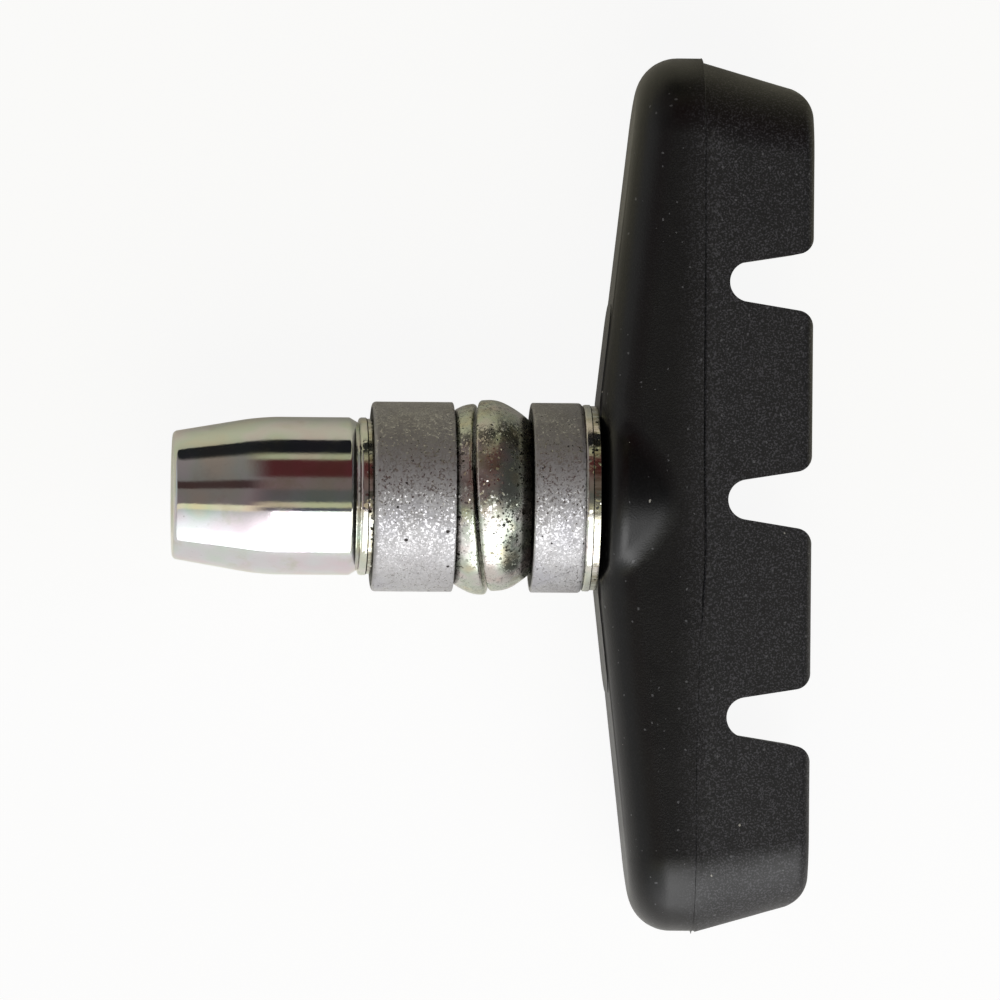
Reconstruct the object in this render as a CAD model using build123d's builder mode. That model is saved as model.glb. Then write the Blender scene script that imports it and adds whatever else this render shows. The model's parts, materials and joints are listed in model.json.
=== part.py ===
from build123d import *
import os
from math import cos, radians, sin, sqrt, tan

# Rim brake pad: a moulded rubber shoe on a threaded stud, with two pairs of ball-seated
# washers and a sleeve nut that clamp it to a brake arm.
# Millimetres. The stud lies along X, nut at -X and rim at +X, and the shoe lies along Y.
# The origin is on the stud's axis, in the plane of the shoe's flat seat.

# Rubber shoe, moulded in two halves that meet at the parting line
shoe_length = 72.0
shoe_width = 13.0
shoe_depth = 17.5           # seat to friction face
parting_depth = 8.4         # seat to parting line
back_shift = 0.35           # how far the back half is set off along the shoe
front_shift = 0.15          # the same for the front half
parting_step = 0.12         # how far the front half stands in at the parting line
land_height = 1.15          # level sides above the parting line, before their draft
front_end_draft = 16.0      # degrees
front_side_draft = 7.0      # degrees
front_edge_round = 1.2
front_end_round = 3.0
back_slope = 6.4            # degrees, from the seat down to each end
back_ridge_round = 20.0
back_edge_round = 3.5       # round the whole back, sides and ends

# Notches across the friction side
notch_count = 3
notch_pitch = 17.9
notch_depth = 7.0
notch_root_radius = 1.65
notch_draft = 9.0           # degrees
notch_mouth_round = 1.45

# Raised seat panel and round boss on the back
panel_length = 32.0
panel_width = 7.0
panel_height = 0.08
panel_corner_round = 2.0
seat_length = 15.6          # level middle of the panel
boss_diameter = 17.8
boss_setback = 0.55         # boss shoulder behind the seat
boss_draft = 24.0           # degrees
boss_edge_round = 1.3
boss_blend = 4.0            # hollow round where the boss runs into the sides

# Steel plate moulded into the shoe
plate_end_cover = 7.0
plate_side_cover = 2.6
plate_thickness = 2.0
plate_setback = 3.8         # seat to plate

# M6 stud, riveted to the plate
stud_diameter = 6.0
stud_tip_chamfer = 0.6
collar_diameter = 9.0
collar_thickness = 2.0
rivet_shank_diameter = 4.5
rivet_head_diameter = 7.0
rivet_head_height = 1.3

# Stamped flat washers
inner_washer_diameter = 15.4
inner_washer_thickness = 1.25
outer_washer_diameter = 13.0
outer_washer_thickness = 1.1
washer_clearance = 0.25     # radial, round the stud
sheared_band = 0.6          # smooth part of a stamped edge
torn_step = 0.1             # how far the torn part stands in
stamped_round = 0.25

# Cup washers with hollow ball seats
cup_diameter = 15.65
inner_cup_length = 4.2
outer_cup_length = 6.7
inner_cup_mouth = 12.8
outer_cup_mouth = 14.45
cup_clearance = 0.3         # radial, round the stud
cup_back_round = 0.35
cup_rim_round = 0.15

# Dome washers, which swivel in the cups
ball_radius = 8.6
ball_clearance = 0.12
dome_diameter = 15.75
dome_bore = 9.0
inner_dome_land = 1.35      # straight part of the rim
outer_dome_land = 0.95
dome_rim_round = 0.3
dome_land_blend = 2.8
dome_gap = 0.25             # between the two flats, before the swivel
swivel_tilt = 7.8           # degrees, as the domes lie
swivel_heading = 64.0       # degrees, swivel axis from +Z towards -Y

# Sleeve nut
nut_diameter = 13.0
nut_length = 15.3
nut_end_diameter = 10.5
nut_taper_length = 7.3
nut_taper_blend = 18.0
nut_end_round = 0.4
nut_foot_chamfer = 0.45     # radial
nut_foot_height = 0.75
thread_clearance = 0.05     # radial, stud in nut
socket_across = 5.0         # hex key size
socket_depth = 6.0
socket_lead = 0.4
stud_tip_gap = 0.4          # stud tip to the socket's floor

# Places along the stud, worked out from the seat towards the nut
seat_radius = ball_radius + ball_clearance
dome_radius = dome_diameter / 2
rim_offset = sqrt(ball_radius**2 - dome_radius**2)
inner_cup_back = -inner_washer_thickness
inner_cup_face = inner_cup_back - inner_cup_length
inner_ball = inner_cup_face - sqrt(seat_radius**2 - (inner_cup_mouth / 2) ** 2)
inner_dome_flat = inner_ball + rim_offset - inner_dome_land
outer_dome_flat = inner_dome_flat - dome_gap
outer_ball = outer_dome_flat + rim_offset - outer_dome_land
outer_cup_face = outer_ball - sqrt(seat_radius**2 - (outer_cup_mouth / 2) ** 2)
outer_cup_back = outer_cup_face - outer_cup_length
nut_foot = outer_cup_back - outer_washer_thickness
nut_end = nut_foot - nut_length
socket_floor = nut_end + socket_depth
stud_tip = socket_floor + stud_tip_gap

# The way the domes swivel
swivel_axis = Vector(0, -sin(radians(swivel_heading)), cos(radians(swivel_heading)))
dome_axis = Vector(1, 0, 0).rotate(Axis((0, 0, 0), swivel_axis), swivel_tilt)

# Shared shoe sizes
half_seat = seat_length / 2
back_rise = tan(radians(back_slope))
front_height = shoe_depth - parting_depth
front_length = shoe_length - 2 * parting_step
front_width = shoe_width - 2 * parting_step
end_lean = tan(radians(front_end_draft))
land_length = front_length - 2 * land_height * end_lean
face_length = front_length - 2 * front_height * end_lean
face_width = front_width - 2 * (front_height - land_height) * tan(radians(front_side_draft))
plate_length = shoe_length - 2 * plate_end_cover
plate_width = shoe_width - 2 * plate_side_cover
overrun = 2.0               # how far a cutting shape stands past what it cuts
tangent_overlap = 0.03      # keeps a cutting round from just touching a face

os.makedirs("parts", exist_ok=True)


def flat_washer(name, left, thickness, diameter):
    bore = stud_diameter / 2 + washer_clearance
    rim = diameter / 2
    right = left + thickness
    with BuildPart() as washer:
        with BuildSketch(Plane.XY) as profile:
            with BuildLine():
                Polyline(
                    (left, bore),
                    (left, rim),
                    (left + sheared_band, rim),
                    (left + sheared_band + torn_step, rim - torn_step),
                    (right, rim - torn_step),
                    (right, bore),
                    close=True,
                )
            make_face()
            rolled_corner = profile.vertices().group_by(Axis.X)[0].sort_by(Axis.Y)[-1]
            fillet(rolled_corner, stamped_round)
        revolve(axis=Axis.X)
    washer.part.label = name
    export_step(washer.part, f"parts/{name}.step")


def cup_washer(name, back, face, ball, mouth):
    bore = stud_diameter / 2 + cup_clearance
    rim = cup_diameter / 2
    side = 1 if face > ball else -1
    floor = ball + side * sqrt(seat_radius**2 - bore**2)
    middle = (mouth / 2 + bore) / 2
    with BuildPart() as cup:
        with BuildSketch(Plane.XY) as profile:
            with BuildLine():
                ThreePointArc(
                    (face, mouth / 2),
                    (ball + side * sqrt(seat_radius**2 - middle**2), middle),
                    (floor, bore),
                )
                Polyline((floor, bore), (back, bore), (back, rim), (face, rim), (face, mouth / 2))
            make_face()
            corners = profile.vertices().group_by(Axis.Y)[-1].sort_by(Axis.X)
            back_corner = corners[-1] if side > 0 else corners[0]
            face_corner = corners[0] if side > 0 else corners[-1]
            fillet(back_corner, cup_back_round)
            fillet(face_corner, cup_rim_round)
        revolve(axis=Axis.X)
    cup.part.label = name
    export_step(cup.part, f"parts/{name}.step")


def dome_washer(name, ball, pole, land):
    bore = dome_bore / 2
    flat = rim_offset - land
    crown = sqrt(ball_radius**2 - bore**2)
    middle = (dome_radius + bore) / 2
    plane = Plane(origin=(ball, 0, 0), x_dir=dome_axis * pole, z_dir=swivel_axis)
    with BuildPart() as dome:
        with BuildSketch(plane) as profile:
            with BuildLine():
                ThreePointArc(
                    (rim_offset, dome_radius),
                    (sqrt(ball_radius**2 - middle**2), middle),
                    (crown, bore),
                )
                Polyline((crown, bore), (flat, bore), (flat, dome_radius), (rim_offset, dome_radius))
            make_face()
            corners = profile.vertices().sort_by(lambda v: plane.to_local_coords(v).Y)[-2:]
            rim_corner, land_corner = corners.sort_by(lambda v: plane.to_local_coords(v).X)
            fillet(rim_corner, dome_rim_round)
            fillet(land_corner, dome_land_blend)
        revolve(axis=Axis(plane.origin, plane.x_dir))
    dome.part.label = name
    export_step(dome.part, f"parts/{name}.step")


# Stud: tip in the nut, collar behind the plate, rivet head in front of it
plate_front = plate_setback + plate_thickness
collar_back = plate_setback - collar_thickness
head_top = plate_front + rivet_head_height
with BuildPart() as stud:
    with BuildSketch(Plane.XY):
        with BuildLine():
            Polyline(
                (head_top, 0),
                (stud_tip, 0),
                (stud_tip, stud_diameter / 2 - stud_tip_chamfer),
                (stud_tip + stud_tip_chamfer, stud_diameter / 2),
                (collar_back, stud_diameter / 2),
                (collar_back, collar_diameter / 2),
                (plate_setback, collar_diameter / 2),
                (plate_setback, rivet_shank_diameter / 2),
                (plate_front, rivet_shank_diameter / 2),
                (plate_front, rivet_head_diameter / 2),
            )
            TangentArc((head_top, 0), (plate_front, rivet_head_diameter / 2), tangent=(0, 1))
        make_face()
    revolve(axis=Axis.X)
stud.part.label = "stud"
export_step(stud.part, "parts/stud.step")

# Backing plate, with round ends and a hole for the rivet
with BuildPart() as backing_plate:
    with BuildSketch(Plane.YZ.offset(plate_setback)):
        SlotOverall(plate_length, plate_width)
        Circle(rivet_shank_diameter / 2, mode=Mode.SUBTRACT)
    extrude(amount=plate_thickness)
backing_plate.part.label = "backing_plate"
export_step(backing_plate.part, "parts/backing_plate.step")

# One notch's outline, with its mouth flared into the friction face
root_centre = shoe_depth - notch_depth + notch_root_radius
draft_sin = sin(radians(notch_draft))
draft_cos = cos(radians(notch_draft))
root_x = root_centre - notch_root_radius * draft_sin
root_y = notch_root_radius * draft_cos
half_mouth = (notch_root_radius + (shoe_depth - root_centre) * draft_sin) / draft_cos
with BuildSketch(Plane.XY) as notch:
    with BuildLine():
        ThreePointArc((root_x, -root_y), (root_centre - notch_root_radius, 0), (root_x, root_y))
        Polyline((root_x, root_y), (shoe_depth, half_mouth), (shoe_depth, -half_mouth), (root_x, -root_y))
    make_face()
    with Locations((shoe_depth + overrun / 2, 0)):
        Rectangle(overrun, 2 * half_mouth + 4 * notch_mouth_round)
    face_corners = notch.vertices().group_by(Axis.X)[-2].sort_by(Axis.Y)
    fillet(face_corners[1:-1], notch_mouth_round)

# Front half of the shoe: drafted block with rounded edges, rounded ends and the notches
with BuildSketch(Plane.XY) as front_outline:
    foot = front_length / 2 + tangent_overlap
    top = face_length / 2 + tangent_overlap
    with BuildLine():
        Polyline(
            (parting_depth, front_shift + foot),
            (shoe_depth, front_shift + top),
            (shoe_depth, front_shift - top),
            (parting_depth, front_shift - foot),
            close=True,
        )
    make_face()
    fillet(front_outline.vertices().group_by(Axis.X)[-1], front_end_round)

with BuildPart() as front_half:
    with BuildSketch(Plane.YZ.offset(parting_depth)):
        with Locations((front_shift, 0)):
            SlotOverall(front_length, front_width)
    with BuildSketch(Plane.YZ.offset(parting_depth + land_height)):
        with Locations((front_shift, 0)):
            SlotOverall(land_length, front_width)
    with BuildSketch(Plane.YZ.offset(shoe_depth)):
        with Locations((front_shift, 0)):
            SlotOverall(face_length, face_width)
    loft(ruled=True)
    fillet(front_half.faces().sort_by(Axis.X)[-1].edges(), front_edge_round)
    with BuildSketch(Plane.XY):
        add(front_outline.sketch)
    extrude(amount=shoe_width, both=True, mode=Mode.INTERSECT)
    with BuildSketch(Plane.XY):
        with GridLocations(0, notch_pitch, 1, notch_count):
            add(notch.sketch)
    extrude(amount=shoe_width, both=True, mode=Mode.SUBTRACT)

# Seat panel: level under the washer, then following the back's slope
half_panel = panel_length / 2
panel_end = (half_panel - half_seat) * back_rise
panel_root = parting_depth / 2
with BuildPart() as seat_panel:
    with BuildSketch(Plane.XY):
        with BuildLine():
            Polyline(
                (0, half_seat),
                (panel_end, half_panel),
                (panel_root, half_panel),
                (panel_root, -half_panel),
                (panel_end, -half_panel),
                (0, -half_seat),
                close=True,
            )
        make_face()
    extrude(amount=panel_width / 2, both=True)
    fillet(seat_panel.edges().filter_by(Axis.X), panel_corner_round)

# Boss round the stud, running out into the shoe's sides
boss_radius = boss_diameter / 2
boss_root = boss_radius - (parting_depth - boss_setback) * tan(radians(boss_draft))
with BuildPart() as boss:
    with BuildSketch(Plane.XY):
        with BuildLine():
            Polyline(
                (boss_setback, 0),
                (boss_setback, boss_radius),
                (parting_depth, boss_root),
                (parting_depth, 0),
                close=True,
            )
        make_face()
    revolve(axis=Axis.X)
    fillet(boss.edges().group_by(Axis.X)[0], boss_edge_round)

# The whole shoe: sloped and rounded back, panel, boss and front half, moulded round the steel
past_end = shoe_length / 2 + overrun
end_depth = panel_height + (past_end - half_seat) * back_rise
with BuildPart() as rubber_shoe:
    with BuildSketch(Plane.XY) as back_outline:
        with BuildLine():
            Polyline(
                (panel_height, half_seat),
                (end_depth, past_end),
                (parting_depth, past_end),
                (parting_depth, -past_end),
                (end_depth, -past_end),
                (panel_height, -half_seat),
                close=True,
            )
        make_face()
        fillet(back_outline.vertices().group_by(Axis.X)[0], back_ridge_round)
    extrude(amount=shoe_width, both=True)
    with BuildSketch(Plane.YZ):
        with Locations((back_shift, 0)):
            SlotOverall(shoe_length, shoe_width)
    extrude(amount=parting_depth, mode=Mode.INTERSECT)
    parting_rim = rubber_shoe.faces().sort_by(Axis.X)[-1].edges()
    wall_edges = rubber_shoe.edges().filter_by(Axis.X) + rubber_shoe.edges().filter_by(Axis.Z)
    fillet(rubber_shoe.edges() - parting_rim - wall_edges, back_edge_round)
    add(boss.part)
    fillet(rubber_shoe.edges(Select.NEW), boss_blend)
    add(seat_panel.part)
    add(front_half.part)
    add(backing_plate.part, mode=Mode.SUBTRACT)
    add(stud.part, mode=Mode.SUBTRACT)
rubber_shoe.part.label = "rubber_shoe"
export_step(rubber_shoe.part, "parts/rubber_shoe.step")

# Washers, from the shoe's seat out to the nut
flat_washer("inner_washer", inner_cup_back, inner_washer_thickness, inner_washer_diameter)
cup_washer("inner_cup", inner_cup_back, inner_cup_face, inner_ball, inner_cup_mouth)
dome_washer("inner_dome", inner_ball, 1, inner_dome_land)
dome_washer("outer_dome", outer_ball, -1, outer_dome_land)
cup_washer("outer_cup", outer_cup_back, outer_cup_face, outer_ball, outer_cup_mouth)
flat_washer("outer_washer", nut_foot, outer_washer_thickness, outer_washer_diameter)

# Sleeve nut: tapered outside, thread bore at the foot, hex socket in the end
nut_radius = nut_diameter / 2
taper_end = nut_end + nut_taper_length
bore_radius = stud_diameter / 2 + thread_clearance
with BuildPart() as sleeve_nut:
    with BuildSketch(Plane.XY) as nut_profile:
        with BuildLine():
            Polyline(
                (nut_end, 0),
                (nut_end, nut_end_diameter / 2),
                (taper_end, nut_radius),
                (nut_foot - nut_foot_height, nut_radius),
                (nut_foot, nut_radius - nut_foot_chamfer),
                (nut_foot, 0),
                close=True,
            )
        make_face()
        taper_corner = nut_profile.vertices().group_by(Axis.Y)[-1].sort_by(Axis.X)[0]
        fillet(taper_corner, nut_taper_blend)
        end_corner = nut_profile.vertices().group_by(Axis.X)[0].sort_by(Axis.Y)[-1]
        fillet(end_corner, nut_end_round)
    revolve(axis=Axis.X)
    with BuildSketch(Plane.YZ.offset(nut_foot)):
        Circle(bore_radius)
    extrude(amount=socket_floor - nut_foot, mode=Mode.SUBTRACT)
    with BuildSketch(Plane.YZ.offset(nut_end)):
        RegularPolygon(socket_across / 2, 6, major_radius=False)
    extrude(amount=socket_depth, mode=Mode.SUBTRACT)
    chamfer(sleeve_nut.faces().sort_by(Axis.X)[0].inner_wires()[0].edges(), socket_lead)
sleeve_nut.part.label = "sleeve_nut"
export_step(sleeve_nut.part, "parts/sleeve_nut.step")
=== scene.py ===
import json
import math

import bmesh
import bpy
from mathutils import Matrix, Vector, noise


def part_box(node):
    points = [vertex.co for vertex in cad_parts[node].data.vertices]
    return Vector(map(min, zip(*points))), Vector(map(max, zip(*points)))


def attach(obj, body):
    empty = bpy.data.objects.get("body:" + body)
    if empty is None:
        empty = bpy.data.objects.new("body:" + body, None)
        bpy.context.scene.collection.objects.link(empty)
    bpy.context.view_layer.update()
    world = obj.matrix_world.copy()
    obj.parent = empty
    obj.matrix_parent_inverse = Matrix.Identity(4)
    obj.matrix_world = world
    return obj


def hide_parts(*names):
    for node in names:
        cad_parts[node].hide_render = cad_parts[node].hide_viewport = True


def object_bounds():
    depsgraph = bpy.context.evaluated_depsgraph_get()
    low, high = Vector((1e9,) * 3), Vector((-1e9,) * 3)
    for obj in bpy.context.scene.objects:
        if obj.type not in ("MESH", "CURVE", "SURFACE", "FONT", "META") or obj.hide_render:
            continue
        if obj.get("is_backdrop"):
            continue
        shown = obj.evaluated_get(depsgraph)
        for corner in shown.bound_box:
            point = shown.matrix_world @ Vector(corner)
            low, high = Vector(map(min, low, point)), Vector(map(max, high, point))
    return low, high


mm = 0.001
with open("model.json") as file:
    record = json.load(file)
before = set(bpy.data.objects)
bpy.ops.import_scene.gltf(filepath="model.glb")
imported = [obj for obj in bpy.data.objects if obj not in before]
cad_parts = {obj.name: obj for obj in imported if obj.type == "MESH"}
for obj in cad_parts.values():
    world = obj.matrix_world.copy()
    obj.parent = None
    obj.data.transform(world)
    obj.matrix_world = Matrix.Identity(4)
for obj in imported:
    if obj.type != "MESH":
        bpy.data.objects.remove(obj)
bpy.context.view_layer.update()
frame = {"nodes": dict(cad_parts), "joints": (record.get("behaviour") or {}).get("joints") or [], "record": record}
bodyOf = {node: body for body, nodes in frame["record"]["behaviour"]["bodies"].items() for node in nodes}
jointOf = {joint["name"]: joint for joint in frame["joints"]}
print("frame loaded,", len(frame["nodes"]), "nodes")


# node shorthand shared by every finish
def startFinish(name):
    mat = bpy.data.materials.new(name)
    mat.use_nodes = True
    tree = mat.node_tree
    place = tree.nodes.new("ShaderNodeTexCoord").outputs["Object"]
    return mat, tree, tree.nodes["Principled BSDF"], place


def feed(tree, socket, value):
    if isinstance(value, bpy.types.NodeSocket):
        tree.links.new(value, socket)
    elif socket.type == "RGBA":
        socket.default_value = (*value, 1.0)
    else:
        socket.default_value = value


def calc(tree, operation, *values):
    node = tree.nodes.new("ShaderNodeMath")
    node.operation = operation
    for socket, value in zip(node.inputs, values):
        feed(tree, socket, value)
    return node.outputs[0]


def vectorCalc(tree, operation, *values):
    node = tree.nodes.new("ShaderNodeVectorMath")
    node.operation = operation
    for socket, value in zip(node.inputs, values):
        feed(tree, socket, value)
    return node.outputs["Value" if operation == "LENGTH" else "Vector"]


def spread(tree, value, fromLow, fromHigh, toLow=0.0, toHigh=1.0):
    node = tree.nodes.new("ShaderNodeMapRange")
    node.interpolation_type = "SMOOTHSTEP"
    tree.links.new(value, node.inputs["Value"])
    node.inputs["From Min"].default_value = fromLow
    node.inputs["From Max"].default_value = fromHigh
    node.inputs["To Min"].default_value = toLow
    node.inputs["To Max"].default_value = toHigh
    return node.outputs["Result"]


def mixTones(tree, factor, first, second):
    node = tree.nodes.new("ShaderNodeMix")
    node.data_type = "RGBA"
    feed(tree, node.inputs[0], factor)
    feed(tree, node.inputs[6], first)  # 6 and 7 are the colour pair
    feed(tree, node.inputs[7], second)
    return node.outputs[2]


def rampOf(tree, value, stops):
    node = tree.nodes.new("ShaderNodeValToRGB")
    ramp = node.color_ramp
    while len(ramp.elements) < len(stops):
        ramp.elements.new(1.0)
    for element, (spot, tone) in zip(ramp.elements, stops):
        element.position = spot
        element.color = (*tone, 1.0)
    tree.links.new(value, node.inputs[0])
    return node.outputs[0]


def stretched(tree, place, scale):
    node = tree.nodes.new("ShaderNodeMapping")
    node.inputs["Scale"].default_value = scale
    tree.links.new(place, node.inputs["Vector"])
    return node.outputs["Vector"]


def noiseOf(tree, place, size, detail=2.0, roughness=0.5, output="Fac"):
    node = tree.nodes.new("ShaderNodeTexNoise")
    node.inputs["Scale"].default_value = 1 / size
    node.inputs["Detail"].default_value = detail
    node.inputs["Roughness"].default_value = roughness
    tree.links.new(place, node.inputs["Vector"])
    return node.outputs[output]


def cellsOf(tree, place, size):  # cells that each have a colour of their own, and its three parts
    node = tree.nodes.new("ShaderNodeTexVoronoi")
    node.inputs["Scale"].default_value = 1 / size
    tree.links.new(place, node.inputs["Vector"])
    parts = tree.nodes.new("ShaderNodeSeparateColor")
    tree.links.new(node.outputs["Color"], parts.inputs[0])
    return node.outputs, parts.outputs


def specksOf(tree, place, cell, radius, share):  # round spots in a share of the cells
    cells, parts = cellsOf(tree, place, cell)
    chosen = calc(tree, "LESS_THAN", parts[0], share)
    reach = calc(tree, "MULTIPLY", parts[1], radius / cell)
    spot = calc(tree, "LESS_THAN", cells["Distance"], reach)
    return calc(tree, "MULTIPLY", chosen, spot)


def axisOf(tree, place, axis):
    node = tree.nodes.new("ShaderNodeSeparateXYZ")
    tree.links.new(place, node.inputs[0])
    return node.outputs[axis]


def radiusOf(tree, place):  # distance from the stud's axis
    return vectorCalc(tree, "LENGTH", stretched(tree, place, (0, 1, 1)))


def warped(tree, place, size, reach):  # pushes a pattern about, so that its spots aren't round
    push = noiseOf(tree, place, size, output="Color")
    return vectorCalc(tree, "MULTIPLY_ADD", push, (reach, reach, reach), place)


def raiseBump(tree, shader, height, depth, under=None):  # bump, stacked on what is under it
    node = tree.nodes.new("ShaderNodeBump")
    node.inputs["Distance"].default_value = depth
    tree.links.new(height, node.inputs["Height"])
    if under:
        tree.links.new(under, node.inputs["Normal"])
    tree.links.new(node.outputs[0], shader.inputs["Normal"])
    return node.outputs[0]


def glint(tree, shader, place, under, size, tilt, share):  # a share of the crystals lean their own way
    cells, parts = cellsOf(tree, place, size)
    chosen = calc(tree, "LESS_THAN", parts[2], share)
    lean = vectorCalc(tree, "SUBTRACT", cells["Color"], (0.5, 0.5, 0.5))
    push = vectorCalc(tree, "MULTIPLY", lean, calc(tree, "MULTIPLY", chosen, tilt))
    turned = vectorCalc(tree, "NORMALIZE", vectorCalc(tree, "ADD", push, under))
    tree.links.new(turned, shader.inputs["Normal"])
    return turned, chosen


# moulded rubber: near black, glossy behind the parting line and dustier in front of it
rubberLook = {
    "darkTone": (0.0006, 0.0006, 0.0009),
    "paleTone": (0.0022, 0.0022, 0.0030),
    "mottleSize": 5 * mm,
    "grainSize": 0.15 * mm,
    "grainDepth": 0.014 * mm,
    "waveSize": 2.6 * mm,
    "waveDepth": 0.020 * mm,
    "sheen": 0.48,
    "backRough": 0.31,
    "frontRough": 0.44,
    "roughSpread": 0.06,
    "partingPlace": 8.4 * mm,
    "glossyTo": 3.5 * mm,  # behind the parting line
    "dustyFrom": 2.0 * mm,  # in front of it
    "filmTone": (0.052, 0.051, 0.058),
    "filmSize": 0.15 * mm,
    "backFilm": 0.07,
    "frontFilm": 0.90,
    "landEdge": 9.55 * mm,
    "seamTone": (0.050, 0.050, 0.052),
    "seamFull": 0.45 * mm,  # from the middle of the land
    "seamEnd": 0.80 * mm,
    "seamSpeckleSize": 0.34 * mm,
    "driftSize": 0.35 * mm,
    "driftReach": 0.25 * mm,
    "finesTone": (0.075, 0.075, 0.080),
    "finesCell": 0.55 * mm,
    "finesRadius": 0.12 * mm,
    "finesShare": 0.26,
    "dustTone": (0.30, 0.29, 0.26),
    "dustCell": 1.9 * mm,
    "dustRadius": 0.11 * mm,
    "dustShare": 0.30,
}


def rubberFinish():
    look = rubberLook
    mat, tree, shader, place = startFinish("mouldedRubber")
    shader.inputs["Specular IOR Level"].default_value = look["sheen"]
    along = axisOf(tree, place, 0)
    parting = look["partingPlace"]
    front = spread(tree, along, parting - look["glossyTo"], parting + look["dustyFrom"])
    mottle = noiseOf(tree, place, look["mottleSize"], 4.0, 0.6)
    tone = rampOf(tree, mottle, [(0.35, look["darkTone"]), (0.68, look["paleTone"])])
    film = spread(tree, noiseOf(tree, place, look["filmSize"], 1.0, 0.6), 0.48, 0.68)
    filmShare = spread(tree, front, 0.0, 1.0, look["backFilm"], look["frontFilm"])
    tone = mixTones(tree, calc(tree, "MULTIPLY", film, filmShare), tone, look["filmTone"])
    # paler speckles in a band along the middle of the land, in front of the parting line
    offSeam = calc(tree, "SUBTRACT", along, (parting + look["landEdge"]) / 2)
    nearSeam = spread(tree, calc(tree, "ABSOLUTE", offSeam), look["seamEnd"], look["seamFull"])
    seamSpeckle = noiseOf(tree, place, look["seamSpeckleSize"], 3.0, 0.7)
    seam = calc(tree, "MULTIPLY", nearSeam, spread(tree, seamSpeckle, 0.55, 0.74))
    tone = mixTones(tree, seam, tone, look["seamTone"])
    drift = warped(tree, place, look["driftSize"], look["driftReach"])
    fines = specksOf(tree, drift, look["finesCell"], look["finesRadius"], look["finesShare"])
    tone = mixTones(tree, fines, tone, look["finesTone"])
    dust = specksOf(tree, drift, look["dustCell"], look["dustRadius"], look["dustShare"])
    tone = mixTones(tree, dust, tone, look["dustTone"])
    tree.links.new(tone, shader.inputs["Base Color"])
    gloss = spread(tree, front, 0.0, 1.0, look["backRough"], look["frontRough"])
    uneven = spread(tree, mottle, 0.3, 0.7, look["roughSpread"], 0.0)
    tree.links.new(calc(tree, "ADD", gloss, uneven), shader.inputs["Roughness"])
    wave = raiseBump(tree, shader, noiseOf(tree, place, look["waveSize"]), look["waveDepth"])
    grain = calc(tree, "ADD", noiseOf(tree, place, look["grainSize"]), dust)
    raiseBump(tree, shader, grain, look["grainDepth"], wave)
    return mat


# zinc plate and matt alloy: tinted clouds, stains, pits, grain, a ripple and bright crystals
def metalFinish(name, look):
    mat, tree, shader, place = startFinish(name)
    shader.inputs["Metallic"].default_value = 1.0
    cloud = noiseOf(tree, place, look["tintSize"], 2.0, 0.55)
    tone = rampOf(tree, cloud, look["tints"])
    stain = noiseOf(tree, place, look["stainSize"], 4.0, 0.6)
    tone = mixTones(tree, spread(tree, stain, 0.52, 0.78), tone, look["stainTone"])
    grain = noiseOf(tree, place, look["grainSize"], 3.0, 0.65)
    tone = mixTones(tree, spread(tree, grain, 0.35, 0.15), tone, look["pitTone"])
    pits = specksOf(tree, place, look["pitCell"], look["pitRadius"], look["pitShare"])
    tone = mixTones(tree, pits, tone, look["pitTone"])
    if "tornEdge" in look:  # a stamped edge: bright sheared band, then a dull torn one
        edge, blend = look["tornEdge"], look["tornBlend"]
        torn = spread(tree, axisOf(tree, place, 0), edge - blend, edge + blend)
        streaks = noiseOf(tree, stretched(tree, place, look["streakStretch"]), look["streakSize"], 3.0)
        torn = calc(tree, "MULTIPLY", torn, spread(tree, streaks, 0.35, 0.65))
        tone = mixTones(tree, torn, tone, look["tornTone"])
    if "paintedShadeRadius" in look:  # painted shade in the hollow of the seat, where the dome shades the cup
        edge = look["paintedShadeRadius"]
        paintedShade = spread(tree, radiusOf(tree, place), edge + look["paintedShadeBlend"], edge)
        tone = mixTones(tree, paintedShade, tone, look["paintedShadeTone"])
    tree.links.new(tone, shader.inputs["Base Color"])
    rough = spread(tree, stain, 0.3, 0.75, look["roughLow"], look["roughHigh"])
    rough = calc(tree, "ADD", rough, calc(tree, "MULTIPLY", pits, 0.3))
    ripple = noiseOf(tree, stretched(tree, place, look["rippleStretch"]), look["rippleSize"])
    under = raiseBump(tree, shader, ripple, look["rippleDepth"])
    under = raiseBump(tree, shader, grain, look["grainDepth"], under)
    under = raiseBump(tree, shader, calc(tree, "MULTIPLY", pits, -1.0), look["pitDepth"], under)
    for size, tilt, share, shine in look.get("crystals", ()):
        under, chosen = glint(tree, shader, place, under, size, tilt, share)
        rough = calc(tree, "SUBTRACT", rough, calc(tree, "MULTIPLY", chosen, shine))
    tree.links.new(rough, shader.inputs["Roughness"])
    return mat


nutLook = {
    "tints": [
        (0.30, (0.78, 0.75, 0.66)),
        (0.44, (0.70, 0.77, 0.72)),
        (0.54, (0.77, 0.77, 0.80)),
        (0.66, (0.79, 0.70, 0.75)),
    ],
    "tintSize": 5 * mm,
    "stainTone": (0.66, 0.65, 0.58),
    "stainSize": 3 * mm,
    "grainSize": 0.24 * mm,
    "grainDepth": 0.0026 * mm,
    "pitTone": (0.20, 0.19, 0.17),
    "pitCell": 1.5 * mm,
    "pitRadius": 0.13 * mm,
    "pitShare": 0.10,
    "pitDepth": 0.012 * mm,
    "roughLow": 0.05,
    "roughHigh": 0.13,
    "rippleStretch": (1.0, 0.1, 0.1),
    "rippleSize": 0.9 * mm,
    "rippleDepth": 0.0016 * mm,
}

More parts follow.
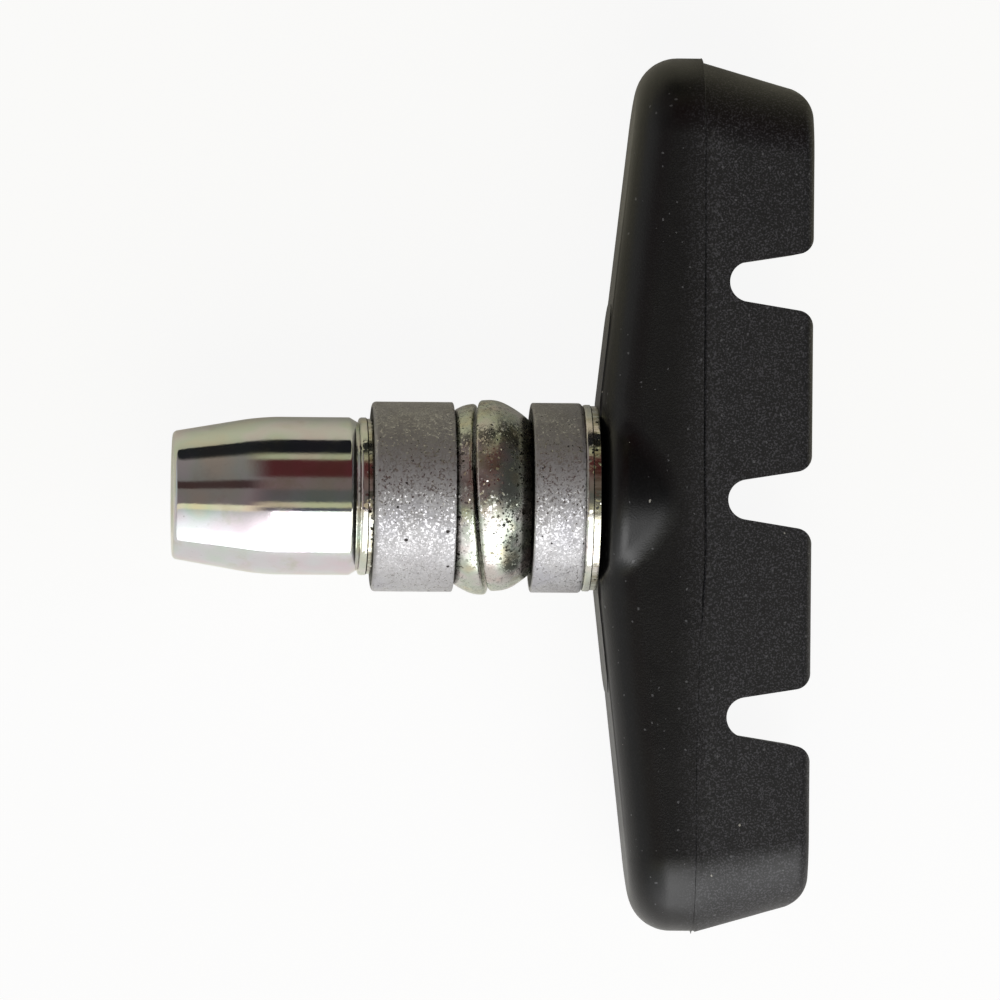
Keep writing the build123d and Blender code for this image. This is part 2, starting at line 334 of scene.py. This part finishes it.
domeLook = {
    "tints": [
        (0.30, (0.66, 0.62, 0.46)),
        (0.44, (0.58, 0.63, 0.54)),
        (0.56, (0.66, 0.64, 0.61)),
        (0.70, (0.66, 0.56, 0.53)),
    ],
    "tintSize": 2.8 * mm,
    "stainTone": (0.46, 0.43, 0.33),
    "stainSize": 2.0 * mm,
    "grainSize": 0.24 * mm,
    "grainDepth": 0.004 * mm,
    "crystals": [(0.22 * mm, 0.45, 0.14, 0.06), (0.12 * mm, 0.50, 0.16, 0.06)],  # size, tilt, share, shine
    "pitTone": (0.12, 0.11, 0.09),
    "pitCell": 0.6 * mm,
    "pitRadius": 0.13 * mm,
    "pitShare": 0.16,
    "pitDepth": 0.02 * mm,
    "roughLow": 0.20,
    "roughHigh": 0.34,
    "rippleStretch": (0.5, 1.0, 1.0),
    "rippleSize": 0.8 * mm,
    "rippleDepth": 0.014 * mm,
}

cupLook = {
    "tints": [(0.30, (0.48, 0.47, 0.48)), (0.50, (0.52, 0.515, 0.525)), (0.70, (0.49, 0.485, 0.51))],
    "tintSize": 4 * mm,
    "stainTone": (0.44, 0.43, 0.435),
    "stainSize": 1.6 * mm,
    "grainSize": 0.22 * mm,
    "grainDepth": 0.010 * mm,
    "crystals": [(0.15 * mm, 0.38, 0.22, 0.27), (0.10 * mm, 0.36, 0.26, 0.24)],
    # painted shade: the seat's hollow is darkened where the dome shades it
    "paintedShadeRadius": 7.3 * mm,
    "paintedShadeBlend": 0.2 * mm,
    "paintedShadeTone": (0.035, 0.033, 0.030),
    "pitTone": (0.12, 0.11, 0.11),
    "pitCell": 0.7 * mm,
    "pitRadius": 0.16 * mm,
    "pitShare": 0.24,
    "pitDepth": 0.04 * mm,
    "roughLow": 0.70,
    "roughHigh": 0.80,
    "rippleStretch": (1.0, 1.0, 1.0),
    "rippleSize": 1.2 * mm,
    "rippleDepth": 0.02 * mm,
}

washerLook = {
    "tints": [
        (0.30, (0.76, 0.72, 0.56)),
        (0.46, (0.69, 0.73, 0.64)),
        (0.58, (0.77, 0.75, 0.70)),
        (0.72, (0.75, 0.65, 0.64)),
    ],
    "tintSize": 3.5 * mm,
    "stainTone": (0.55, 0.52, 0.42),
    "stainSize": 2.0 * mm,
    "grainSize": 0.22 * mm,
    "grainDepth": 0.004 * mm,
    "crystals": [(0.24 * mm, 0.35, 0.20, 0.05)],
    "pitTone": (0.12, 0.11, 0.10),
    "pitCell": 0.8 * mm,
    "pitRadius": 0.13 * mm,
    "pitShare": 0.20,
    "pitDepth": 0.02 * mm,
    "roughLow": 0.10,
    "roughHigh": 0.24,
    "rippleStretch": (0.35, 1.0, 1.0),
    "rippleSize": 0.6 * mm,
    "rippleDepth": 0.010 * mm,
    "tornTone": (0.42, 0.39, 0.30),
    "tornBlend": 0.04 * mm,
    "streakStretch": (0.2, 1.0, 1.0),
    "streakSize": 0.3 * mm,
}

steelTints = [(0.30, (0.50, 0.50, 0.50)), (0.70, (0.58, 0.58, 0.59))]
steelLook = dict(nutLook, tints=steelTints, roughLow=0.3, roughHigh=0.45)

rubber = rubberFinish()
domePlate = metalFinish("domePlate", domeLook)
cupAlloy = metalFinish("cupAlloy", cupLook)
nutPlate = metalFinish("nutPlate", nutLook)
print("finishes made")


# what every mesh shares
meshLook = {
    "mergeReach": 0.0005 * mm,
    "longestRun": 0.5 * mm,  # keeps the shading even on long faces
    "roundSteps": 6,
    "spinSteps": 144,
}


def finishPiece(bm, name, node, mat, smoothAngle=35):  # rides with the body of the solid it belongs to
    bmesh.ops.remove_doubles(bm, verts=bm.verts, dist=meshLook["mergeReach"])
    bmesh.ops.recalc_face_normals(bm, faces=bm.faces)
    mesh = bpy.data.meshes.new(name)
    bm.to_mesh(mesh)
    bm.free()
    mesh.materials.append(mat)
    mesh.shade_smooth()
    mesh.set_sharp_from_angle(angle=math.radians(smoothAngle))
    piece = bpy.data.objects.new(name, mesh)
    bpy.context.scene.collection.objects.link(piece)
    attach(piece, bodyOf[node])
    return piece


def vertsOf(edges):
    return {vert for edge in edges for vert in edge.verts}


def edgesIn(geom):
    return [part for part in geom if isinstance(part, bmesh.types.BMEdge)]


def vertsIn(geom):
    return [part for part in geom if isinstance(part, bmesh.types.BMVert)]


# turned pieces: an outline in the XY plane, its corners rounded, then spun about X
def drawOutline(bm, corners):  # corners start with x and radius
    verts = [bm.verts.new((corner[0], corner[1], 0)) for corner in corners]
    for pair in zip(verts, verts[1:]):
        bm.edges.new(pair)
    return verts


def roundCorners(bm, verts, corners):  # corners are (x, radius, round)
    for vert, (x, radius, reach) in zip(verts, corners):
        if reach:
            bmesh.ops.bevel(
                bm, geom=[vert], offset=reach, offset_type="OFFSET", affect="VERTICES",
                segments=meshLook["roundSteps"], profile=0.5, clamp_overlap=False, material=-1,
            )


def spinRound(bm):
    longestRun = meshLook["longestRun"]
    for edge in [e for e in bm.edges if e.calc_length() > longestRun]:
        bmesh.ops.subdivide_edges(bm, edges=[edge], cuts=int(edge.calc_length() / longestRun))
    bmesh.ops.spin(
        bm, geom=bm.verts[:] + bm.edges[:], cent=(0, 0, 0), axis=(1, 0, 0),
        angle=2 * math.pi, steps=meshLook["spinSteps"], use_merge=True,
    )


# moulded shoe: the solid's own shape, merged and smooth shaded
shoeLook = {
    "flatAngle": 0.3,  # degrees
    "smoothAngle": 30,
    "evenWeight": 90,
}


def shoeSkin():
    look = shoeLook
    bm = bmesh.new()
    bm.from_mesh(frame["nodes"]["rubber_shoe"].data)
    bmesh.ops.remove_doubles(bm, verts=bm.verts, dist=meshLook["mergeReach"])
    bmesh.ops.dissolve_limit(
        bm, angle_limit=math.radians(look["flatAngle"]), verts=bm.verts, edges=bm.edges,
    )
    piece = finishPiece(bm, "shoeSkin", "rubber_shoe", rubber, look["smoothAngle"])
    even = piece.modifiers.new("evenShading", "WEIGHTED_NORMAL")
    even.weight = look["evenWeight"]
    even.keep_sharp = True
    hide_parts("rubber_shoe")


shoeSkin()
print("shoe skin made")


# stamped flat washers: rolled edge on the nut's side, then a sheared band and a torn one
stampedLook = {
    "bore": 3.25 * mm,
    "shearedBand": 0.6 * mm,
    "tornStep": 0.1 * mm,
    "rolledRound": 0.25 * mm,
    "burrRound": 0.05 * mm,
}


def stampedWasher(node):
    look = stampedLook
    low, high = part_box(node)
    edge = low.x + look["shearedBand"]
    torn = high.y - look["tornStep"]
    bm = bmesh.new()
    corners = [
        (low.x, look["bore"], look["burrRound"]),
        (low.x, high.y, look["rolledRound"]),
        (edge, high.y, 0),
        (edge + look["tornStep"], torn, 0),
        (high.x, torn, look["burrRound"]),
        (high.x, look["bore"], look["burrRound"]),
    ]
    verts = drawOutline(bm, corners)
    bm.edges.new((verts[-1], verts[0]))
    roundCorners(bm, verts, corners)
    spinRound(bm)
    plate = metalFinish(node + "Plate", dict(washerLook, tornEdge=edge))
    piece = finishPiece(bm, node + "Stamped", node, plate)
    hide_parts(node)


stampedWasher("inner_washer")
stampedWasher("outer_washer")
print("stamped washers made")


# ball washers: cups with a hollow seat and domes that swivel in them, drawn about the ball's centre
ballLook = {
    "ball": 8.6 * mm,
    "seat": 8.72 * mm,
    "cupBore": 3.3 * mm,
    "cupRadius": 7.825 * mm,
    "backRound": 0.35 * mm,
    "rimRound": 0.15 * mm,
    "domeBore": 4.5 * mm,
    "domeRadius": 7.875 * mm,
    "domeRound": 0.3 * mm,
    "landBlend": 2.8 * mm,
    "boreRound": 0.1 * mm,
    "tilt": 7.8,  # degrees, how the domes lie at rest
    "arcSteps": 28,
    "blendSteps": 12,
}

cupPlaces = {  # the joint at the ball's centre, mouth radius, which way the cup lies from the ball
    "inner_cup": ("dome_swivel", 6.4 * mm, 1),
    "outer_cup": ("outer_dome_swivel", 7.225 * mm, -1),
}

domePlaces = {  # the joint at the ball's centre, straight part of the rim, which way the ball side faces
    "inner_dome": ("dome_swivel", 1.35 * mm, 1),
    "outer_dome": ("outer_dome_swivel", 0.95 * mm, -1),
}


def sweep(bm, vert, centre, turn, steps):  # carries a vertex round a centre in the XY plane
    swept = bmesh.ops.spin(bm, geom=[vert], cent=(*centre, 0), axis=(0, 0, 1), angle=turn, steps=steps)
    return vertsIn(swept["geom_last"])[0]


def seatPiece(bm, joint, side, tilt=0):
    about = Matrix.Rotation(0 if side > 0 else math.pi, 3, "Z")
    lean = Matrix.Rotation(math.radians(tilt), 3, Vector(joint["axis"]))
    bmesh.ops.rotate(bm, verts=bm.verts, cent=(0, 0, 0), matrix=lean @ about)
    bmesh.ops.translate(bm, verts=bm.verts, vec=joint["pos_m"])


def cupWasher(node):
    look = ballLook
    jointName, mouth, side = cupPlaces[node]
    joint = jointOf[jointName]
    low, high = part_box(node)
    back = high.x if side > 0 else low.x
    depth = (back - joint["pos_m"][0]) * side
    face = math.sqrt(look["seat"] ** 2 - mouth ** 2)
    bm = bmesh.new()
    lip = bm.verts.new((face, mouth, 0))
    turn = math.asin(look["cupBore"] / look["seat"]) - math.asin(mouth / look["seat"])
    inner = sweep(bm, lip, (0, 0), turn, look["arcSteps"])
    corners = [
        (depth, look["cupBore"], look["boreRound"]),
        (depth, look["cupRadius"], look["backRound"]),
        (face, look["cupRadius"], look["rimRound"]),
    ]
    verts = drawOutline(bm, corners)
    bm.edges.new((inner, verts[0]))
    bm.edges.new((verts[-1], lip))
    roundCorners(bm, verts, corners)
    spinRound(bm)
    seatPiece(bm, joint, side)
    piece = finishPiece(bm, node + "Turned", node, cupAlloy)
    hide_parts(node)


def domeWasher(node):
    look = ballLook
    jointName, land, side = domePlaces[node]
    rim = math.sqrt(look["ball"] ** 2 - look["domeRadius"] ** 2)
    blendY = look["domeRadius"] - look["landBlend"]
    blendX = math.sqrt((look["ball"] - look["landBlend"]) ** 2 - blendY ** 2)
    steep = math.atan2(blendY, blendX)
    bm = bmesh.new()
    blend = bm.verts.new((blendX, look["domeRadius"], 0))
    onBall = sweep(bm, blend, (blendX, blendY), steep - math.pi / 2, look["blendSteps"])
    turn = math.asin(look["domeBore"] / look["ball"]) - steep
    crown = sweep(bm, onBall, (0, 0), turn, look["arcSteps"])
    corners = [
        (rim - land, look["domeBore"], look["boreRound"]),
        (rim - land, look["domeRadius"], look["domeRound"]),
    ]
    verts = drawOutline(bm, corners)
    bm.edges.new((crown, verts[0]))
    bm.edges.new((verts[-1], blend))
    roundCorners(bm, verts, corners)
    spinRound(bm)
    seatPiece(bm, jointOf[jointName], side, look["tilt"])
    piece = finishPiece(bm, node + "Turned", node, domePlate)
    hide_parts(node)


for node in cupPlaces:
    cupWasher(node)
for node in domePlaces:
    domeWasher(node)
print("cups and domes made")


# sleeve nut: tapered outside, hex socket in the end, plain bore over the stud
sleeveLook = {
    "endRadius": 5.25 * mm,
    "taperLength": 7.3 * mm,
    "taperBlend": 1.53 * mm,  # straight length taken by the blend on each side
    "endRound": 0.36 * mm,
    "footChamfer": 0.45 * mm,
    "footHeight": 0.75 * mm,
    "edgeRound": 0.08 * mm,
    "bore": 3.05 * mm,
    "socketCorner": 2.887 * mm,
    "socketDepth": 6.0 * mm,
    "socketStep": 0.3 * mm,  # cone from the socket out to the bore
    "leadRadius": 3.2 * mm,
    "leadSlope": 0.58,
}


def hexLoop(bm, x, radius, parts):
    old = set(bm.edges)
    matrix = Matrix.Translation((x, 0, 0)) @ Matrix.Rotation(math.radians(90), 4, "Y")
    bmesh.ops.create_circle(bm, segments=6, radius=radius, matrix=matrix)
    bmesh.ops.subdivide_edges(bm, edges=[e for e in bm.edges if e not in old], cuts=parts - 1)
    return [e for e in bm.edges if e not in old]


def sleeveNut():
    look = sleeveLook
    low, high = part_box("sleeve_nut")
    floor = low.x + look["socketDepth"]
    bm = bmesh.new()
    corners = [
        (low.x, look["leadRadius"], 0),
        (low.x, look["endRadius"], look["endRound"]),
        (low.x + look["taperLength"], high.y, look["taperBlend"]),
        (high.x - look["footHeight"], high.y, look["edgeRound"]),
        (high.x, high.y - look["footChamfer"], look["edgeRound"]),
        (high.x, look["bore"], look["edgeRound"]),
        (floor + look["socketStep"], look["bore"], 0),
    ]
    verts = drawOutline(bm, corners)
    roundCorners(bm, verts, corners)
    spinRound(bm)
    openEdges = [e for e in bm.edges if e.is_boundary]
    lead = [e for e in openEdges if e.verts[0].co.x < floor]
    boreEnd = [e for e in openEdges if e.verts[0].co.x > floor]
    socket = hexLoop(bm, low.x, look["socketCorner"], meshLook["spinSteps"] // 6)
    for vert in vertsOf(socket):  # the walls meet the lead-in's cone in shallow scallops
        vert.co.x += look["leadSlope"] * (look["leadRadius"] - math.hypot(vert.co.y, vert.co.z))
    bmesh.ops.bridge_loops(bm, edges=lead + socket)
    made = bmesh.ops.extrude_edge_only(bm, edges=socket)["geom"]
    sunk = vertsIn(made)
    for vert in sunk:
        vert.co.x = floor
    foot = [e for e in edgesIn(made) if all(v in sunk for v in e.verts)]
    bmesh.ops.bridge_loops(bm, edges=foot + boreEnd)
    piece = finishPiece(bm, "turnedNut", "sleeve_nut", nutPlate)
    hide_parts("sleeve_nut")


sleeveNut()
print("sleeve nut made")


# threaded stud: rolled M6 thread, collar and rivet head in the rubber
studLook = {
    "pitch": 1.0 * mm,
    "crest": 2.97 * mm,
    "root": 2.39 * mm,
    "crestFlat": 0.15,  # shares of the pitch
    "rootFlat": 0.25,
    "steps": 48,
    "tipRadius": 2.35 * mm,
    "threadSunk": 0.2 * mm,  # runs on into the collar
    "collar": 4.5 * mm,
    "collarBack": 1.8 * mm,
    "plateBack": 3.8 * mm,
    "plateFront": 5.8 * mm,
    "shank": 2.25 * mm,
    "head": 3.5 * mm,
    "headSteps": 9,
}


def rollThread(bm, tip):  # one turn spun with the pitch's advance, cut off square at both ends
    look = studLook
    pitch = look["pitch"]
    flank = (1 - look["crestFlat"] - look["rootFlat"]) / 2
    x = tip - 2 * pitch
    points = []
    while x < look["collarBack"] + pitch:
        points.append((x, look["root"]))
        points.append((x + look["rootFlat"] * pitch, look["root"]))
        points.append((x + (look["rootFlat"] + flank) * pitch, look["crest"]))
        points.append((x + (1 - flank) * pitch, look["crest"]))
        x += pitch
    line = drawOutline(bm, points) + bm.edges[:]
    bmesh.ops.spin(
        bm, geom=line, cent=(0, 0, 0), axis=(1, 0, 0), dvec=(pitch / look["steps"], 0, 0),
        angle=2 * math.pi, steps=look["steps"],
    )
    bmesh.ops.remove_doubles(bm, verts=bm.verts, dist=meshLook["mergeReach"])
    for end, side in ((tip, -1), (look["collarBack"] + look["threadSunk"], 1)):
        cut = bmesh.ops.bisect_plane(
            bm, geom=bm.verts[:] + bm.edges[:] + bm.faces[:],
            plane_co=(end, 0, 0), plane_no=(side, 0, 0), clear_outer=True,
        )
        bmesh.ops.edgenet_fill(bm, edges=edgesIn(cut["geom_cut"]))
    for vert in bm.verts:  # chamfered tip
        reach = look["tipRadius"] + vert.co.x - tip
        radius = math.hypot(vert.co.y, vert.co.z)
        if radius > reach:
            vert.co.y *= reach / radius
            vert.co.z *= reach / radius


def threadedStud():
    look = studLook
    low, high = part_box("stud")
    bm = bmesh.new()
    rollThread(bm, low.x)
    back, front = look["plateBack"], look["plateFront"]
    headRise = high.x - front
    outline = [(look["collarBack"], 0), (look["collarBack"], look["collar"]), (back, look["collar"])]
    outline += [(back, look["shank"]), (front, look["shank"]), (front, look["head"])]
    for step in range(1, look["headSteps"] + 1):
        bend = step / look["headSteps"] * math.pi / 2
        outline.append((front + headRise * math.sin(bend), look["head"] * math.cos(bend)))
    line = drawOutline(bm, outline) + [e for e in bm.edges if e.is_wire]
    bmesh.ops.spin(
        bm, geom=line, cent=(0, 0, 0), axis=(1, 0, 0),
        angle=2 * math.pi, steps=look["steps"], use_merge=True,
    )
    piece = finishPiece(bm, "threadedStud", "stud", nutPlate)
    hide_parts("stud")


threadedStud()
print("threaded stud made")


# backing plate: sealed in the rubber, so the solid is only given its finish
def dressPlate():
    steel = metalFinish("plainSteel", steelLook)
    for slot in frame["nodes"]["backing_plate"].material_slots:
        slot.material = steel


dressPlate()
print("backing plate dressed")


# thin ragged flash that the mould left round the parting line
flashLook = {
    "length": 72 * mm,
    "width": 13 * mm,
    "shift": 0.35 * mm,  # along the shoe
    "foot": 0.09 * mm,  # half thickness at the rubber
    "sunk": 0.10 * mm,
    "reach": 0.06 * mm,
    "leastReach": 0.02 * mm,
    "plainShare": 0.55,  # shares of the reach
    "fineShare": 0.5,
    "fineSize": 0.7 * mm,
    "broadShare": 0.6,
    "broadSize": 3.5 * mm,
    "nubReach": 0.24 * mm,
    "nubWidth": 0.7 * mm,
    "roundSteps": 160,
    "straightCuts": 150,
    "smoothAngle": 60,
    "wander": [  # place along the shoe, and how far the line drifts there
        (-40 * mm, -0.30 * mm),
        (-22 * mm, -0.35 * mm),
        (-14 * mm, -0.20 * mm),
        (-5 * mm, 0.25 * mm),
        (6 * mm, 0.12 * mm),
        (34 * mm, -0.05 * mm),
        (40 * mm, -0.05 * mm),
    ],
}


def wanderAt(y):
    for (fromY, fromX), (toY, toX) in zip(flashLook["wander"], flashLook["wander"][1:]):
        if fromY <= y <= toY:
            share = (y - fromY) / (toY - fromY)
            return fromX + (toX - fromX) * share * share * (3 - 2 * share)
    return 0.0


def flashReach(base, straight):  # how far the ragged edge stands out of the rubber
    look = flashLook
    fine = noise.noise(base / look["fineSize"]) * look["fineShare"]
    broad = noise.noise(base / look["broadSize"]) * look["broadShare"]
    nub = math.exp(-((base.z / look["nubWidth"]) ** 2)) if base.y < -straight else 0.0
    reach = look["reach"] * (look["plainShare"] + fine + broad) + look["nubReach"] * nub
    return max(reach, look["leastReach"])


def partingFlash():
    look = flashLook
    radius = look["width"] / 2
    straight = look["length"] / 2 - radius
    bm = bmesh.new()
    turned = Matrix.Rotation(math.radians(90), 4, "Y")
    bmesh.ops.create_circle(bm, segments=look["roundSteps"], radius=radius, matrix=turned)
    for vert in bm.verts:
        vert.co.y += -straight if vert.co.y < -look["leastReach"] else straight
    longEdges = [e for e in bm.edges if e.calc_length() > straight]
    bmesh.ops.subdivide_edges(bm, edges=longEdges, cuts=look["straightCuts"])
    rings = [bm.edges[:]]
    while len(rings) < 3:
        made = bmesh.ops.extrude_edge_only(bm, edges=rings[-1])["geom"]
        fresh = vertsIn(made)
        rings.append([e for e in edgesIn(made) if all(v in fresh for v in e.verts)])
    for part, ring in enumerate(rings):  # the back foot, the ragged edge and the front foot
        for vert in vertsOf(ring):
            base = vert.co.copy()
            middle = Vector((0, max(-straight, min(straight, base.y)), 0))
            out = flashReach(base, straight) if part == 1 else -look["sunk"]
            vert.co = base + (base - middle).normalized() * out
            vert.co.x = rubberLook["partingPlace"] + wanderAt(base.y) + (part - 1) * look["foot"]
            vert.co.y += look["shift"]
    bmesh.ops.bridge_loops(bm, edges=rings[0] + rings[2])
    finishPiece(bm, "partingFlash", "rubber_shoe", rubber, look["smoothAngle"])


partingFlash()
print("parting flash made")


# pale floor just under the part, darker and warmer past the stud as painted shade that the metals
# mirror: white to the camera, partly so in mirrors, and keeping a soft shadow
floorLook = {
    "size": 3.0,
    "nearTone": (0.95, 0.94, 0.91),
    # painted shade: past the stud the floor is darker, for the metals' tops to mirror
    "farShadeTone": (0.70, 0.66, 0.44),
    "turn": 15 * mm,
    "rough": 0.9,
    "paperSize": 4 * mm,
    "paperReach": 8 * mm,
    "cameraWhite": 0.92,
    "mirrorWhite": 0.16,
}


def floorFinish():
    look = floorLook
    mat, tree, shader, place = startFinish("paleFloor")
    shader.inputs["Roughness"].default_value = look["rough"]
    shader.inputs["Specular IOR Level"].default_value = 0.0
    paper = calc(tree, "MULTIPLY", noiseOf(tree, place, look["paperSize"], 4.0), look["paperReach"])
    along = calc(tree, "ADD", axisOf(tree, place, 1), paper)
    # painted shade on the floor past the stud
    shadedSide = spread(tree, along, -look["turn"], look["turn"])
    tree.links.new(mixTones(tree, shadedSide, look["nearTone"], look["farShadeTone"]), shader.inputs["Base Color"])
    rays = tree.nodes.new("ShaderNodeLightPath").outputs
    mirrored = calc(tree, "MAXIMUM", rays["Is Glossy Ray"], rays["Is Transmission Ray"])
    share = calc(tree, "MULTIPLY", rays["Is Camera Ray"], look["cameraWhite"])
    share = calc(tree, "MAXIMUM", share, calc(tree, "MULTIPLY", mirrored, look["mirrorWhite"]))
    glow = tree.nodes.new("ShaderNodeEmission")
    blend = tree.nodes.new("ShaderNodeMixShader")
    tree.links.new(share, blend.inputs[0])
    tree.links.new(shader.outputs[0], blend.inputs[1])
    tree.links.new(glow.outputs[0], blend.inputs[2])
    tree.links.new(blend.outputs[0], tree.nodes["Material Output"].inputs["Surface"])
    return mat


def paleFloor():
    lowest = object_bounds()[0].z
    bm = bmesh.new()
    bmesh.ops.create_grid(bm, x_segments=1, y_segments=1, size=floorLook["size"] / 2)
    bmesh.ops.translate(bm, verts=bm.verts, vec=(0, 0, lowest))
    mesh = bpy.data.meshes.new("floor")
    bm.to_mesh(mesh)
    bm.free()
    mesh.materials.append(floorFinish())
    floor = bpy.data.objects.new("floor", mesh)
    bpy.context.scene.collection.objects.link(floor)
    floor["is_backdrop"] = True


paleFloor()
print("floor laid")


# soft studio surround: a white card below the picture, dim and warm above, dark past the top edge
surroundLook = {
    "sides": [  # from below the picture to above it
        (0.000, (3.30, 3.30, 3.30)),
        (0.075, (2.25, 2.25, 2.25)),
        (0.300, (0.66, 0.68, 0.66)),
        (0.315, (0.10, 0.10, 0.12)),
        (0.345, (0.10, 0.10, 0.12)),
        (0.360, (0.55, 0.52, 0.34)),
        (0.405, (0.55, 0.52, 0.34)),
        (0.430, (0.10, 0.105, 0.10)),
        (0.560, (0.11, 0.105, 0.10)),
        (0.600, (0.17, 0.13, 0.118)),
        (0.715, (0.17, 0.13, 0.118)),
        (0.745, (0.082, 0.022, 0.022)),
        (0.900, (0.082, 0.022, 0.022)),
        (0.918, (0.42, 0.40, 0.27)),
        (0.942, (0.42, 0.40, 0.27)),
        (0.960, (0.012, 0.012, 0.014)),
    ],
    "nutSides": [  # the same, as the nut's taper sees it
        (0.000, (2.20, 2.20, 2.20)),
        (0.085, (1.25, 1.25, 1.25)),
        (0.285, (0.60, 0.64, 0.60)),
        (0.310, (0.85, 0.80, 0.55)),
        (0.365, (0.85, 0.80, 0.55)),
        (0.380, (0.20, 0.165, 0.16)),
        (0.580, (0.20, 0.165, 0.16)),
        (0.600, (0.060, 0.034, 0.034)),
        (0.680, (0.060, 0.034, 0.034)),
        (0.710, (0.20, 0.18, 0.175)),
        (0.930, (0.24, 0.21, 0.20)),
        (0.950, (0.018, 0.018, 0.020)),
    ],
    "nutStart": -0.06,  # how far a heading points along the stud, from -1 to 1
    "nutFull": -0.27,
    "leftTone": (0.50, 0.50, 0.49),
    "leftStart": -0.55,
    "leftFull": -0.97,
    "rightTone": (0.06, 0.06, 0.06),
    "rightStart": 0.35,
    "rightFull": 0.80,
    "cameraTone": (1.0, 1.0, 1.0),
}


def softSurround():
    look = surroundLook
    world = bpy.data.worlds.new("softSurround")
    bpy.context.scene.world = world
    world.use_nodes = True
    tree = world.node_tree
    heading = tree.nodes.new("ShaderNodeTexCoord").outputs["Generated"]
    across = axisOf(tree, heading, 0)
    along = axisOf(tree, heading, 1)
    height = calc(tree, "ADD", calc(tree, "MULTIPLY", along, 0.5), 0.5)
    tone = rampOf(tree, height, look["sides"])
    nutTone = rampOf(tree, height, look["nutSides"])
    tone = mixTones(tree, spread(tree, across, look["nutStart"], look["nutFull"]), tone, nutTone)
    for end in ("left", "right"):
        share = spread(tree, across, look[end + "Start"], look[end + "Full"])
        tone = mixTones(tree, share, tone, look[end + "Tone"])
    rays = tree.nodes.new("ShaderNodeLightPath").outputs
    tone = mixTones(tree, rays["Is Camera Ray"], tone, look["cameraTone"])
    tree.links.new(tone, tree.nodes["Background"].inputs["Color"])


softSurround()
print("surround lit")


# one wide soft lamp over the white card
lampLook = {
    "distance": 0.30,
    "lean": 42,  # degrees from overhead, below the picture
    "left": -0.05,
    "right": 0.46,
    "width": 0.21,
    "radiance": 2.0,
}


def softLamp():
    look = lampLook
    lean = math.radians(look["lean"])
    span = look["right"] - look["left"]
    data = bpy.data.lights.new("softLamp", "AREA")
    data.shape = "RECTANGLE"
    data.size = span
    data.size_y = look["width"]
    data.energy = look["radiance"] * math.pi * span * look["width"]
    lamp = bpy.data.objects.new("softLamp", data)
    middle = (look["right"] + look["left"]) / 2
    lamp.location = (middle, -look["distance"] * math.sin(lean), look["distance"] * math.cos(lean))
    lamp.rotation_euler = (lean, 0, 0)
    lamp.visible_camera = False
    bpy.context.scene.collection.objects.link(lamp)
    lamp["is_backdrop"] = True


softLamp()
print("lamp hung")


# camera over the part, a little to the nut's side, with a long lens
cameraLook = {
    "distance": 1.2,
    "pixelsPerMm": 12.12,
    "imageWidth": 1000,
    "yaw": 2.97,  # degrees
    "pitch": 0.11,
    "roll": 0.475,
    "originRight": 96.3,  # where the part's origin shows, in pixels from the middle
    "originUp": 1.8,
    "clipStart": 0.05,
    "clipEnd": 10,
}


def overheadCamera():
    look = cameraLook
    yaw, pitch, roll = (math.radians(look[angle]) for angle in ("yaw", "pitch", "roll"))
    ahead = Vector((math.sin(yaw) * math.cos(pitch), -math.sin(pitch), -math.cos(yaw) * math.cos(pitch)))
    level = ahead.cross(Vector((0, 1, 0))).normalized()
    rise = level.cross(ahead)
    right = level * math.cos(roll) + rise * math.sin(roll)
    up = rise * math.cos(roll) - level * math.sin(roll)
    pixel = mm / look["pixelsPerMm"]
    offset = right * look["originRight"] * pixel + up * look["originUp"] * pixel
    data = bpy.data.cameras.new("overheadCamera")
    data.lens = data.sensor_width * look["distance"] / (look["imageWidth"] * pixel)
    data.clip_start = look["clipStart"]
    data.clip_end = look["clipEnd"]
    camera = bpy.data.objects.new("overheadCamera", data)
    turn = Matrix((right, up, -ahead)).transposed().to_4x4()
    camera.matrix_world = Matrix.Translation(-ahead * look["distance"] - offset) @ turn
    bpy.context.scene.collection.objects.link(camera)
    bpy.context.scene.camera = camera


overheadCamera()
bpy.context.scene.view_settings.view_transform = "Standard"
print("camera set")
